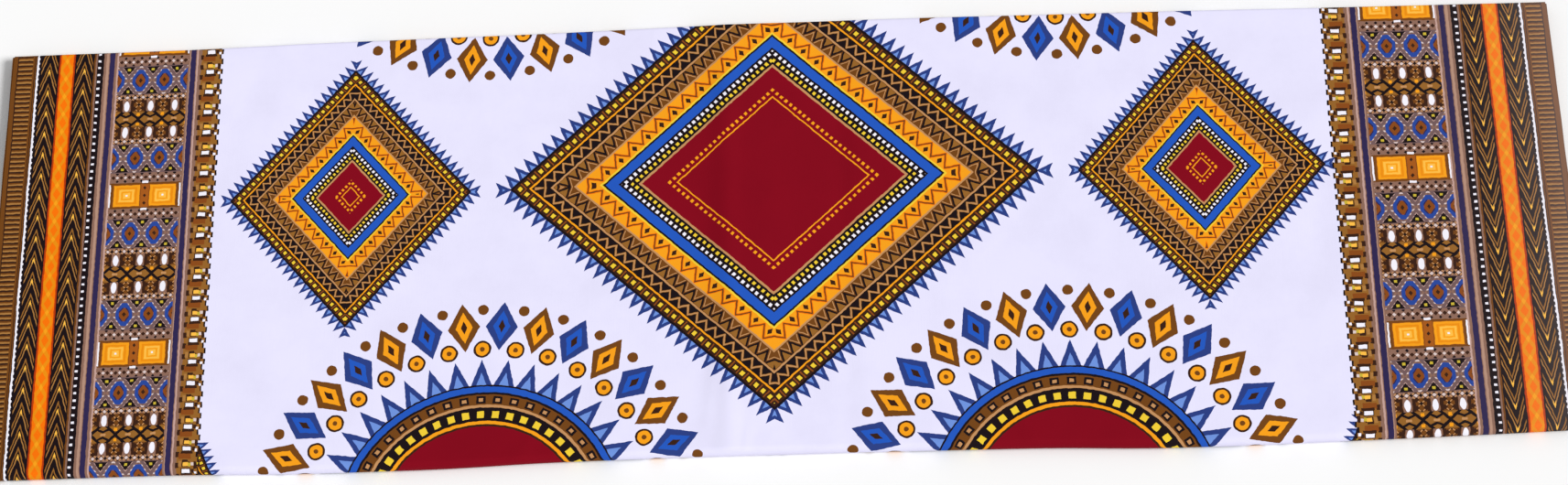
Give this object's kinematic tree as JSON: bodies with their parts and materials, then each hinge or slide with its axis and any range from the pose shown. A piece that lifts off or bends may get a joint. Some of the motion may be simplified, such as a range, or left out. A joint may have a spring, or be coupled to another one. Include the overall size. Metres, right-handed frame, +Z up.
{
  "type": "folded wax print fabric piece",
  "caption": "Flat folded pack of wax-print cotton cloth, full loom width, with rounded folds at front and back and layered selvedge ends.",
  "frame": {"origin": "centre of the pack's underside, on the surface it lies on", "axes": "+X along the loom width from the left selvedge to the right one, +Y from the big front fold to the back edge, +Z up out of the surface"},
  "size_m": [1.1724, 0.3452, 0.011],
  "materials": {
    "printed_cotton": "smooth calendered cotton, wax-printed on a pale ground, faint sheen",
    "printed_cotton_layers": "stacked selvedge edges of the same printed cotton, matt"
  },
  "bodies": {
    "root": {"bottom_panel": "printed_cotton", "front_fold": "printed_cotton", "top_panel": "printed_cotton", "back_fold": "printed_cotton", "hidden_layers": "printed_cotton_layers"}
  },
  "joints": []
}
